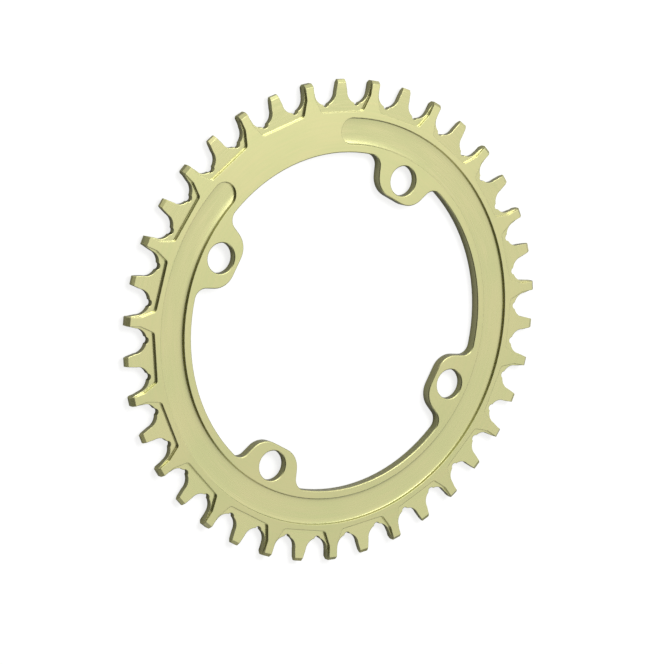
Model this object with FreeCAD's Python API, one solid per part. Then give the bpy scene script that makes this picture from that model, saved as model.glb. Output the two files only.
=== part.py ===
# Single chainring for a bicycle crank: 38 alternating wide and narrow teeth, four bolt tabs.
# All sizes are in millimetres. The ring lies flat on its inboard face, the grooved outboard
# face looks up (+Z), and the origin is the centre of the bolt circle on the inboard face.
import FreeCAD
import Part
import math
import os

V = FreeCAD.Vector

# Chain and tooth sizes; radii of the tooth parts are given from the pitch circle
tooth_pairs = 19
chain_pitch = 12.7
seat_radius = 4.2
seat_sweep = 86.0
tip_above_pitch = 3.7
tip_half_width = 1.42

# Plate
plate_thick = 3.8
narrow_thick = 2.0
edge_break = 0.25

# Pockets that thin every second tooth
pocket_edge_below_pitch = 7.0
pocket_corner = 1.3
boss_half_width = 1.5
boss_bend_below_pitch = 1.4
boss_flare = 20.0

# Bevelled tooth tips
tip_bevel_radial = 1.05
wide_bevel_depth = 1.0
narrow_bevel_depth = 0.55

# Mud notches at the foot of each gullet
notch_radius = 1.2
notch_overlap = 0.7

# Face groove, which stops on each side of a flat pad
groove_inside_pockets = 1.85
groove_outside_bore = 2.6
groove_depth = 0.95
groove_wall_run = 0.15
pad_angle = 49.0
pad_sweep = 48.6

# Bolt tabs
bolt_circle_radius = 52.0
bore_beyond_bolts = 4.6
bolt_count = 4
bolt_hole_radius = 5.05
nut_chamfer = 0.7
tab_nose_reach = 7.0
tab_corner = 7.2
tab_half_width = 10.8
tab_flare = 22.7
tab_fillet = 3.9

# Shallow turned relief on the inboard face, under the bolt tabs
relief_radius = 66.0
relief_depth = 0.5

# Sizes that follow from the ones above
tooth_count = 2 * tooth_pairs
pitch_angle = 360.0 / tooth_count
bolt_spacing = 360.0 / bolt_count
pitch_radius = chain_pitch / 2.0 / math.sin(math.pi / tooth_count)
tip_radius = pitch_radius + tip_above_pitch
narrow_face = (plate_thick + narrow_thick) / 2.0
pocket_depth = plate_thick - narrow_face
bore_radius = bolt_circle_radius + bore_beyond_bolts
groove_outer = pitch_radius - pocket_edge_below_pitch - groove_inside_pockets
groove_inner = bore_radius + groove_outside_bore

# How far each cutter stands out of the metal
clear = 1.0


def at_angle(u, v, degrees, z=0.0):
    """A point given in a frame whose first axis points along the angle."""
    a = math.radians(degrees)
    return V(u * math.cos(a) - v * math.sin(a), u * math.sin(a) + v * math.cos(a), z)


def line(a, b):
    return Part.LineSegment(a, b).toShape()


def arc(a, m, b):
    return Part.Arc(a, m, b).toShape()


def prism(edges, z_low, z_high):
    """Closed outline drawn at z = 0, raised between two heights."""
    face = Part.Face(Part.Wire(Part.sortEdges(edges)[0]))
    face.translate(V(0, 0, z_low))
    return face.extrude(V(0, 0, z_high - z_low))


def rounded_outline(points, radii):
    """Closed outline of straight sides with a fillet of its own radius at each corner."""
    n = len(points)
    starts = []
    ends = []
    middles = []
    for i in range(n):
        p = points[i]
        r = radii[i]
        if r == 0:
            starts.append(p)
            ends.append(p)
            middles.append(None)
            continue
        back = (points[i - 1] - p).normalize()
        on = (points[(i + 1) % n] - p).normalize()
        half = back.getAngle(on) / 2.0
        reach = r / math.tan(half)
        inward = (back + on).normalize()
        centre = p + inward * (r / math.sin(half))
        starts.append(p + back * reach)
        ends.append(p + on * reach)
        middles.append(centre - inward * r)
    edges = []
    for i in range(n):
        if middles[i] is not None:
            edges.append(arc(starts[i], middles[i], ends[i]))
        edges.append(line(ends[i], starts[(i + 1) % n]))
    return edges


# Outline of the teeth: a flat tip, two flanks and the roller seat between teeth
def seat_point(tooth_angle, side, degrees):
    """Point of the roller seat next to a tooth, measured from the gullet bottom."""
    gullet = tooth_angle + side * pitch_angle / 2.0
    t = math.radians(degrees)
    u = pitch_radius - seat_radius * math.cos(t)
    v = -side * seat_radius * math.sin(t)
    return at_angle(u, v, gullet)


def flank(tooth_angle, side):
    """Tip corner and foot of one flank of a tooth."""
    tip = at_angle(tip_radius, side * tip_half_width, tooth_angle)
    foot = seat_point(tooth_angle, side, seat_sweep)
    return tip, foot


def toothed_plate():
    edges = []
    for i in range(tooth_count):
        a = i * pitch_angle
        tip_right, foot_right = flank(a, -1)
        tip_left, foot_left = flank(a, 1)
        next_foot = flank(a + pitch_angle, -1)[1]
        edges.append(line(foot_right, tip_right))
        edges.append(line(tip_right, tip_left))
        edges.append(line(tip_left, foot_left))
        edges.append(arc(foot_left, seat_point(a, 1, 0.0), next_foot))
    return prism(edges, 0.0, plate_thick)


# Bore with the four tabs left standing: nose, rounded corners, leaning flanks and fillets
def tab_points():
    """Points of half a tab: nose end, corner arc, flank, then the fillet to the bore circle."""
    lean = math.radians(tab_flare)
    along = V(math.cos(lean), math.sin(lean), 0)
    across = V(-math.sin(lean), math.cos(lean), 0)
    side = V(bolt_circle_radius, tab_half_width, 0)
    nose_x = bolt_circle_radius - tab_nose_reach
    shifted = side - across * tab_corner
    corner = shifted + along * ((nose_x + tab_corner - shifted.x) / along.x)
    shifted = side + across * tab_fillet
    reach = bore_radius - tab_fillet
    b = shifted.dot(along)
    fillet = shifted + along * (math.sqrt(b * b - shifted.dot(shifted) + reach * reach) - b)
    outward = fillet * (1.0 / fillet.Length)
    nose = V(nose_x, corner.y, 0)
    corner_mid = corner + (across - V(1, 0, 0)).normalize() * tab_corner
    corner_end = corner + across * tab_corner
    fillet_start = fillet - across * tab_fillet
    fillet_mid = fillet + (outward - across).normalize() * tab_fillet
    fillet_end = outward * bore_radius
    return nose, corner_mid, corner_end, fillet_start, fillet_mid, fillet_end


def placed(p, side, degrees):
    return at_angle(p.x, side * p.y, degrees)


def bore_edges():
    nose, corner_mid, corner_end, fillet_start, fillet_mid, fillet_end = tab_points()
    edges = []
    for i in range(bolt_count):
        a = i * bolt_spacing
        for side in (-1, 1):
            edges.append(arc(placed(nose, side, a), placed(corner_mid, side, a), placed(corner_end, side, a)))
            edges.append(line(placed(corner_end, side, a), placed(fillet_start, side, a)))
            edges.append(arc(placed(fillet_start, side, a), placed(fillet_mid, side, a), placed(fillet_end, side, a)))
        edges.append(line(placed(nose, -1, a), placed(nose, 1, a)))
        half_way = at_angle(bore_radius, 0, a + bolt_spacing / 2.0)
        edges.append(arc(placed(fillet_end, 1, a), half_way, placed(fillet_end, -1, a + bolt_spacing)))
    return edges


def break_bore_edges(ring):
    """Small chamfer on the outboard rim of the bore, along the tabs as well."""
    rims = []
    for edge in ring.Edges:
        lowest = min(vertex.Z for vertex in edge.Vertexes)
        reach = max(math.hypot(vertex.X, vertex.Y) for vertex in edge.Vertexes)
        if lowest > plate_thick - 0.001 and reach < bore_radius + 0.001:
            rims.append(edge)
    return ring.makeChamfer(edge_break, rims)


# Pockets: a straight inner edge under the narrow tooth, sides along the two wide neighbours
def pocket_side(side):
    """Side of a wide neighbour's boss in the narrow tooth's frame: foot, bend and top."""
    flare = math.radians(boss_flare)
    wide_angle = side * pitch_angle
    bend = at_angle(pitch_radius - boss_bend_below_pitch, -side * boss_half_width, wide_angle)
    inward = at_angle(-math.cos(flare), -side * math.sin(flare), wide_angle)
    upward = at_angle(1.0, 0.0, wide_angle)
    foot = bend + inward * ((pitch_radius - pocket_edge_below_pitch - bend.x) / inward.x)
    top = bend + upward * ((tip_radius + clear - bend.x) / upward.x)
    return foot, bend, top


def pockets():
    right_foot, right_bend, right_top = pocket_side(-1)
    left_foot, left_bend, left_top = pocket_side(1)
    local = [right_foot, right_bend, right_top, left_top, left_bend, left_foot]
    radii = [pocket_corner, 0, 0, 0, 0, pocket_corner]
    cutters = []
    for i in range(1, tooth_count, 2):
        points = [at_angle(p.x, p.y, i * pitch_angle) for p in local]
        edges = rounded_outline(points, radii)
        cutters.append(prism(edges, narrow_face, plate_thick + clear))
        cutters.append(prism(edges, -clear, pocket_depth))
    return cutters


# Bevels at the tooth tips, on both faces of every tooth
def tip_bevel(angle, face_z, depth, up):
    """Wedge that bevels one face of one tooth tip; up is 1 for the outboard face."""
    half = tip_half_width + clear
    start = tip_radius - tip_bevel_radial
    end = tip_radius + clear
    drop = depth * (end - start) / tip_bevel_radial
    corners = [
        at_angle(start, -half, angle, face_z),
        at_angle(end, -half, angle, face_z - up * drop),
        at_angle(end, -half, angle, face_z + up * clear),
        at_angle(start, -half, angle, face_z + up * clear),
    ]
    face = Part.Face(Part.makePolygon(corners + [corners[0]]))
    return face.extrude(at_angle(0, 2 * half, angle))


def tip_bevels():
    cutters = []
    for i in range(tooth_count):
        a = i * pitch_angle
        if i % 2 == 0:
            cutters.append(tip_bevel(a, plate_thick, wide_bevel_depth, 1))
            cutters.append(tip_bevel(a, 0.0, wide_bevel_depth, -1))
        else:
            cutters.append(tip_bevel(a, narrow_face, narrow_bevel_depth, 1))
            cutters.append(tip_bevel(a, pocket_depth, narrow_bevel_depth, -1))
    return cutters


def mud_notches():
    """Small round notches right through the plate at the bottom of each gullet."""
    base = V(pitch_radius - seat_radius - notch_overlap + notch_radius, 0, -clear)
    cutters = []
    for i in range(tooth_count):
        notch = Part.makeCylinder(notch_radius, plate_thick + 2 * clear, base)
        notch.rotate(V(0, 0, 0), V(0, 0, 1), (i + 0.5) * pitch_angle)
        cutters.append(notch)
    return cutters


# Face groove: steep walls, flat floor and a round end on each side of the pad
def groove():
    middle = (groove_outer + groove_inner) / 2.0
    half = (groove_outer - groove_inner) / 2.0
    floor_half = half - groove_wall_run
    mouth_half = half + groove_wall_run / groove_depth * clear
    top = plate_thick + clear
    floor_z = plate_thick - groove_depth

    section = Part.makePolygon([
        V(middle + mouth_half, 0, top),
        V(middle + floor_half, 0, floor_z),
        V(middle - floor_half, 0, floor_z),
        V(middle - mouth_half, 0, top),
        V(middle + mouth_half, 0, top),
    ])
    channel = Part.Face(section).revolve(V(0, 0, 0), V(0, 0, 1), 360.0 - pad_sweep)
    channel.rotate(V(0, 0, 0), V(0, 0, 1), pad_angle + pad_sweep / 2.0)
    cutters = [channel]
    for side in (-1, 1):
        round_end = Part.makeCone(floor_half, mouth_half, top - floor_z, V(middle, 0, floor_z))
        round_end.rotate(V(0, 0, 0), V(0, 0, 1), pad_angle + side * pad_sweep / 2.0)
        cutters.append(round_end)
    return cutters


def bolt_holes():
    """Plain holes with a broken outboard rim and a wider chamfer on the nut side."""
    bolt_side = bolt_hole_radius + edge_break + clear
    nut_side = bolt_hole_radius + nut_chamfer + clear
    cutters = []
    for i in range(bolt_count):
        base = at_angle(bolt_circle_radius, 0, i * bolt_spacing, -clear)
        low = at_angle(bolt_circle_radius, 0, i * bolt_spacing, relief_depth - clear)
        high = at_angle(bolt_circle_radius, 0, i * bolt_spacing, plate_thick - edge_break)
        cutters.append(Part.makeCylinder(bolt_hole_radius, plate_thick + 2 * clear, base))
        cutters.append(Part.makeCone(nut_side, bolt_hole_radius, nut_chamfer + clear, low))
        cutters.append(Part.makeCone(bolt_hole_radius, bolt_side, edge_break + clear, high))
    return cutters


def build_ring():
    ring = toothed_plate()
    ring = ring.cut(prism(bore_edges(), -clear, plate_thick + clear))
    ring = ring.cut(Part.makeCylinder(relief_radius, relief_depth + clear, V(0, 0, -clear)))
    ring = break_bore_edges(ring)
    ring = ring.cut(pockets())
    ring = ring.cut(tip_bevels())
    ring = ring.cut(mud_notches())
    ring = ring.cut(bolt_holes())
    ring = ring.cut(groove())
    return ring


os.makedirs("parts", exist_ok=True)
ring = build_ring()
solid = ring.Solids[0]
print("solids", len(ring.Solids), "valid", solid.isValid(), "volume", round(solid.Volume, 1))
print("faces", len(solid.Faces))
solid.exportStep("parts/chainring.step")
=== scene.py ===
"""Looks of the chainring: satin gold anodised metal on a pale floor in a plain studio."""
import math
import bpy
from mathutils import Matrix, Vector

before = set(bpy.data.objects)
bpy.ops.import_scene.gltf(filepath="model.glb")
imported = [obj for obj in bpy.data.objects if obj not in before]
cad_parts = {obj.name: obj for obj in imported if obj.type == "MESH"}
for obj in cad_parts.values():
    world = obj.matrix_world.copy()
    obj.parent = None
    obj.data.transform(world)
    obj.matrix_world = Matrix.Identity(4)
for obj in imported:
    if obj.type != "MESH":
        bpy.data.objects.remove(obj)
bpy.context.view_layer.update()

# Camera: the photograph's viewing angle, looking down on the flat ring
CAMERA_AIM = (-0.003500, -0.000840, 0.001865)
CAMERA_DISTANCE = 1.1603
CAMERA_AZIMUTH = 100.29
CAMERA_ELEVATION = 55.09
CAMERA_ROLL = 106.25
LENS = 189.99
SENSOR = 36.0
CLIP_START = 0.01

# Colours as linear values: the metal's mottle runs between the first two
GOLD = (0.609, 0.581, 0.274)
GOLD_DEEP = (0.561, 0.568, 0.257)
WHITE = (1.0, 1.0, 1.0)
FLOOR_COLOUR = (0.50, 0.50, 0.50)

# Roughness of the tumbled raised faces, the milled floors, the cut walls, the tips and the coat
ROUGH_RAISED = 0.42
ROUGH_MILLED = 0.27
ROUGH_WALL = 0.24
ROUGH_TIP = 0.55
ROUGH_SWING = 0.025
COAT_ROUGHNESS = 0.18
COAT_IOR = 1.5

# Where those surfaces lie, in metres, and how level a face is where it counts as flat
RAISED_ABOVE = 0.0035
RAISED_BLEND = 0.0001
TIPS_FROM = 0.0789
TIPS_BLEND = 0.0006
FLAT_RANGE = (0.93, 0.99)

# Mottle, grain and turning marks. Scales are per metre, apart from MARKS_ROUND, which is per
# radius. The shares make up the tone, the ranges are of noise and the depths are in metres.
NOISE_DETAIL = 2.0
MOTTLE_SCALE = 42.0
GRAIN_SCALE = 1900.0
GRAIN_ROUGHNESS = 0.6
MARKS_ACROSS = 1300.0
MARKS_ROUND = 5.0
MOTTLE_SHARE = 0.55
MARKS_SHARE = 0.45
TONE_RANGE = (0.38, 0.62)
SWING_RANGE = (0.3, 0.7)
MARKS_DEPTH = 0.000009
GRAIN_DEPTH = 0.0000008

# Edges look rounded by this radius, in metres
EDGE_RADIUS = 0.00034
EDGE_SAMPLES = 8

# Groove, in metres: middle and half width of its floor, the heights it lies between, its cove
GROOVE_MIDDLE = 0.0636
GROOVE_HALF = 0.0044
GROOVE_ABOVE = 0.0019
GROOVE_BELOW = 0.0032
GROOVE_COVE = 0.00037

# Room: its light on dull surfaces and on metal, with a dark side and a dim corner for metal.
# Each place is an azimuth and an elevation, and each range runs from its rim to its full depth.
FILL = 0.35
ROOM = 1.0
DARK_SIDE = 0.10
DARK_TOWARDS = (135.0, 40.0)
DARK_RANGE = (0.45, 0.76)
DIM_CORNER = 0.12
DIM_TOWARDS = (243.0, 5.0)
DIM_RANGE = (0.77, 0.91)

# Floor
FLOOR_HALF = 1.5
FLOOR_DROP = 0.00002
FLOOR_GLOW = 0.75


# Node helpers
def node(tree, kind, **inputs):
    """Adds a shader node and fills the sockets that are given by name."""
    made = tree.nodes.new(kind)
    for name, value in inputs.items():
        made.inputs[name.replace("_", " ")].default_value = value
    return made


def math_node(tree, operation, a, b=None):
    """Output of a math node whose inputs are sockets or plain numbers."""
    made = tree.nodes.new("ShaderNodeMath")
    made.operation = operation
    for i, value in enumerate((a, b)):
        if value is None:
            continue
        if isinstance(value, (int, float)):
            made.inputs[i].default_value = value
        else:
            tree.links.new(value, made.inputs[i])
    return made.outputs[0]


def remap(tree, value, low, high, to_low=0.0, to_high=1.0):
    """Output of a clamped map from one range to another."""
    made = tree.nodes.new("ShaderNodeMapRange")
    made.clamp = True
    tree.links.new(value, made.inputs["Value"])
    made.inputs["From Min"].default_value = low
    made.inputs["From Max"].default_value = high
    made.inputs["To Min"].default_value = to_low
    made.inputs["To Max"].default_value = to_high
    return made.outputs["Result"]


def noise(tree, vector, scale, roughness=0.5):
    """Output of a noise texture over the given coordinates."""
    made = node(
        tree, "ShaderNodeTexNoise", Scale=scale, Detail=NOISE_DETAIL, Roughness=roughness
    )
    tree.links.new(vector, made.inputs["Vector"])
    return made.outputs["Fac"]


def background(tree, strength=None):
    """White background; its strength is left open for a link when none is given."""
    made = node(tree, "ShaderNodeBackground", Color=(*WHITE, 1.0))
    if strength is not None:
        made.inputs["Strength"].default_value = strength
    return made


def mix_shaders(tree, choice, first, second):
    """The second shader where the choice is 1, otherwise the first."""
    made = tree.nodes.new("ShaderNodeMixShader")
    tree.links.new(choice, made.inputs["Fac"])
    tree.links.new(first.outputs[0], made.inputs[1])
    tree.links.new(second.outputs[0], made.inputs[2])
    return made


def direction(azimuth, elevation):
    """Unit vector towards a place given in degrees."""
    a = math.radians(azimuth)
    e = math.radians(elevation)
    return Vector((math.cos(a) * math.cos(e), math.sin(a) * math.cos(e), math.sin(e)))


def new_material(name):
    """New material, its cleared node tree and that tree's output node."""
    material = bpy.data.materials.new(name)
    material.use_nodes = True
    tree = material.node_tree
    tree.nodes.clear()
    return material, tree, tree.nodes.new("ShaderNodeOutputMaterial")


# Anodised metal
def turning_marks(tree, x, y, radius):
    """Noise that changes fast along the radius and slowly round the ring."""
    place = tree.nodes.new("ShaderNodeCombineXYZ")
    round_x = math_node(tree, "DIVIDE", x, radius)
    round_y = math_node(tree, "DIVIDE", y, radius)
    tree.links.new(math_node(tree, "MULTIPLY", radius, MARKS_ACROSS), place.inputs["X"])
    tree.links.new(math_node(tree, "MULTIPLY", round_x, MARKS_ROUND), place.inputs["Y"])
    tree.links.new(math_node(tree, "MULTIPLY", round_y, MARKS_ROUND), place.inputs["Z"])
    return noise(tree, place.outputs[0], 1.0)


def metal_tone(tree, mottle, marks):
    """Two shades of gold, mixed by the mottle and the turning marks."""
    blend = math_node(
        tree,
        "ADD",
        math_node(tree, "MULTIPLY", mottle, MOTTLE_SHARE),
        math_node(tree, "MULTIPLY", marks, MARKS_SHARE),
    )
    tone = tree.nodes.new("ShaderNodeMix")
    tone.data_type = "RGBA"
    tone.inputs["A"].default_value = (*GOLD_DEEP, 1.0)
    tone.inputs["B"].default_value = (*GOLD, 1.0)
    tree.links.new(remap(tree, blend, *TONE_RANGE), tone.inputs["Factor"])
    return tone.outputs["Result"]


def metal_roughness(tree, marks, flat, radius, z):
    """Raised faces scatter more than milled floors, and tooth tips more than other walls."""
    raised = remap(tree, z, RAISED_ABOVE - RAISED_BLEND, RAISED_ABOVE)
    swing = remap(tree, marks, *SWING_RANGE, -ROUGH_SWING, ROUGH_SWING)
    face = math_node(
        tree, "ADD", swing, remap(tree, raised, 0.0, 1.0, ROUGH_MILLED, ROUGH_RAISED)
    )
    wall = remap(tree, radius, TIPS_FROM, TIPS_FROM + TIPS_BLEND, ROUGH_WALL, ROUGH_TIP)
    extra = math_node(tree, "MULTIPLY", math_node(tree, "SUBTRACT", face, wall), flat)
    return math_node(tree, "ADD", extra, wall)


def groove_cove(tree, radius, z):
    """Height that coves the groove's floor up towards its walls, and 0 elsewhere."""
    off_middle = math_node(tree, "SUBTRACT", radius, GROOVE_MIDDLE)
    across = math_node(tree, "DIVIDE", off_middle, GROOVE_HALF)
    squared = math_node(tree, "MULTIPLY", across, across)
    bowl = math_node(tree, "SUBTRACT", math_node(tree, "POWER", squared, 2.0), 1.0)
    in_band = math_node(tree, "LESS_THAN", squared, 1.0)
    low = math_node(tree, "LESS_THAN", z, GROOVE_BELOW)
    high = math_node(tree, "GREATER_THAN", z, GROOVE_ABOVE)
    in_groove = math_node(tree, "MULTIPLY", in_band, math_node(tree, "MULTIPLY", low, high))
    in_place = math_node(tree, "MULTIPLY", bowl, in_groove)
    return math_node(tree, "MULTIPLY", in_place, GROOVE_COVE)


def metal_normal(tree, height, flat):
    """Rounded edges everywhere, with the relief on the flat faces only."""
    edges = node(tree, "ShaderNodeBevel", Radius=EDGE_RADIUS)
    edges.samples = EDGE_SAMPLES
    smooth = edges.outputs["Normal"]
    bump = node(tree, "ShaderNodeBump", Strength=1.0, Distance=1.0)
    tree.links.new(height, bump.inputs["Height"])
    tree.links.new(smooth, bump.inputs["Normal"])
    surface = tree.nodes.new("ShaderNodeMix")
    surface.data_type = "VECTOR"
    tree.links.new(flat, surface.inputs["Factor"])
    tree.links.new(smooth, surface.inputs["A"])
    tree.links.new(bump.outputs["Normal"], surface.inputs["B"])
    return surface.outputs["Result"]


def anodised_metal():
    """Satin anodised aluminium with fine turning marks round the ring's axis."""
    material, tree, out = new_material("anodised_aluminium")
    links = tree.links
    metal = tree.nodes.new("ShaderNodeBsdfPrincipled")
    metal.inputs["Metallic"].default_value = 1.0
    metal.inputs["Specular Tint"].default_value = (*WHITE, 1.0)
    metal.inputs["Coat Weight"].default_value = 1.0
    metal.inputs["Coat Roughness"].default_value = COAT_ROUGHNESS
    metal.inputs["Coat IOR"].default_value = COAT_IOR
    links.new(metal.outputs["BSDF"], out.inputs["Surface"])

    coordinates = tree.nodes.new("ShaderNodeTexCoord")
    place = coordinates.outputs["Object"]
    split = tree.nodes.new("ShaderNodeSeparateXYZ")
    links.new(place, split.inputs[0])
    x, y, z = split.outputs
    x2 = math_node(tree, "MULTIPLY", x, x)
    y2 = math_node(tree, "MULTIPLY", y, y)
    radius = math_node(tree, "SQRT", math_node(tree, "ADD", x2, y2))

    # Flat faces carry the marks; walls and bevels are cut clean
    facing = tree.nodes.new("ShaderNodeSeparateXYZ")
    links.new(coordinates.outputs["Normal"], facing.inputs[0])
    level = math_node(tree, "ABSOLUTE", facing.outputs["Z"])
    flat = remap(tree, level, *FLAT_RANGE)

    mottle = noise(tree, place, MOTTLE_SCALE)
    grain = noise(tree, place, GRAIN_SCALE, GRAIN_ROUGHNESS)
    marks = turning_marks(tree, x, y, radius)
    links.new(metal_tone(tree, mottle, marks), metal.inputs["Base Color"])
    links.new(metal_roughness(tree, marks, flat, radius, z), metal.inputs["Roughness"])

    texture = math_node(
        tree,
        "ADD",
        math_node(tree, "MULTIPLY", marks, MARKS_DEPTH),
        math_node(tree, "MULTIPLY", grain, GRAIN_DEPTH),
    )
    height = math_node(tree, "ADD", texture, groove_cove(tree, radius, z))
    links.new(metal_normal(tree, height, flat), metal.inputs["Normal"])
    return material


# Floor: pale, shows white to the camera and keeps the ring's shadow
def floor_material():
    """Plain diffuse floor that glows a little for the camera alone."""
    material, tree, out = new_material("pale_floor")
    plain = node(tree, "ShaderNodeBsdfDiffuse", Color=(*FLOOR_COLOUR, 1.0))
    glow = node(tree, "ShaderNodeEmission", Strength=FLOOR_GLOW)
    total = tree.nodes.new("ShaderNodeAddShader")
    tree.links.new(plain.outputs[0], total.inputs[0])
    tree.links.new(glow.outputs[0], total.inputs[1])
    rays = tree.nodes.new("ShaderNodeLightPath")
    choose = mix_shaders(tree, rays.outputs["Is Camera Ray"], plain, total)
    tree.links.new(choose.outputs[0], out.inputs["Surface"])
    return material


def add_floor():
    """Flat square just under the ring."""
    half = FLOOR_HALF
    mesh = bpy.data.meshes.new("floor")
    corners = [(-half, -half, 0.0), (half, -half, 0.0), (half, half, 0.0), (-half, half, 0.0)]
    mesh.from_pydata(corners, [], [(0, 1, 2, 3)])
    floor = bpy.data.objects.new("floor", mesh)
    bpy.context.scene.collection.objects.link(floor)
    floor.location.z = -FLOOR_DROP
    floor.data.materials.append(floor_material())


# World and lamps
def nearness(tree, towards, place):
    """Cosine of the angle between a ray and a place given as azimuth and elevation."""
    made = tree.nodes.new("ShaderNodeVectorMath")
    made.operation = "DOT_PRODUCT"
    tree.links.new(towards, made.inputs[0])
    made.inputs[1].default_value = direction(*place)
    return made.outputs["Value"]


def add_world():
    """White to the camera; for metal, a white room with a dark side and a dim corner."""
    world = bpy.data.worlds.new("studio")
    bpy.context.scene.world = world
    world.use_nodes = True
    tree = world.node_tree
    tree.nodes.clear()
    out = tree.nodes.new("ShaderNodeOutputWorld")
    fill = background(tree, FILL)
    white = background(tree, 1.0)
    room = background(tree)

    towards = tree.nodes.new("ShaderNodeTexCoord").outputs["Generated"]
    dark = nearness(tree, towards, DARK_TOWARDS)
    dim = nearness(tree, towards, DIM_TOWARDS)
    strength = math_node(
        tree,
        "MULTIPLY",
        remap(tree, dark, *DARK_RANGE, ROOM, DARK_SIDE),
        remap(tree, dim, *DIM_RANGE, 1.0, DIM_CORNER),
    )
    tree.links.new(strength, room.inputs["Strength"])

    rays = tree.nodes.new("ShaderNodeLightPath")
    clear = math_node(
        tree, "MAXIMUM", rays.outputs["Is Camera Ray"], rays.outputs["Is Transmission Ray"]
    )
    metal = mix_shaders(tree, rays.outputs["Is Glossy Ray"], fill, room)
    choose = mix_shaders(tree, clear, metal, white)
    tree.links.new(choose.outputs[0], out.inputs["Surface"])
    world.cycles.sampling_method = "NONE"


def add_lamp(name, azimuth, elevation, distance, size, power):
    """Square soft lamp that looks at the middle of the ring."""
    data = bpy.data.lights.new(name, "AREA")
    data.shape = "SQUARE"
    data.size = size
    data.energy = power
    lamp = bpy.data.objects.new(name, data)
    towards = direction(azimuth, elevation)
    lamp.location = towards * distance
    lamp.rotation_euler = towards.to_track_quat("Z", "Y").to_euler()
    bpy.context.scene.collection.objects.link(lamp)


def add_camera():
    """Camera that looks at its aim from the photograph's angle, rolled about its view."""
    data = bpy.data.cameras.new("camera")
    data.sensor_width = SENSOR
    data.lens = LENS
    data.clip_start = CLIP_START
    camera = bpy.data.objects.new("camera", data)
    away = direction(CAMERA_AZIMUTH, CAMERA_ELEVATION)
    level = away.to_track_quat("Z", "Y").to_matrix().to_4x4()
    roll = Matrix.Rotation(math.radians(CAMERA_ROLL), 4, "Z")
    place = Matrix.Translation(Vector(CAMERA_AIM) + away * CAMERA_DISTANCE)
    camera.matrix_world = place @ level @ roll
    bpy.context.scene.collection.objects.link(camera)
    bpy.context.scene.camera = camera


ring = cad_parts["chainring"]
ring.data.materials.clear()
ring.data.materials.append(anodised_metal())

add_floor()
add_world()
add_lamp("key", azimuth=12.0, elevation=55.0, distance=1.2, size=0.4, power=2.2)
add_lamp("panel", azimuth=-15.0, elevation=60.0, distance=0.6, size=0.25, power=0.7)
add_camera()
bpy.context.scene.view_settings.view_transform = "Standard"
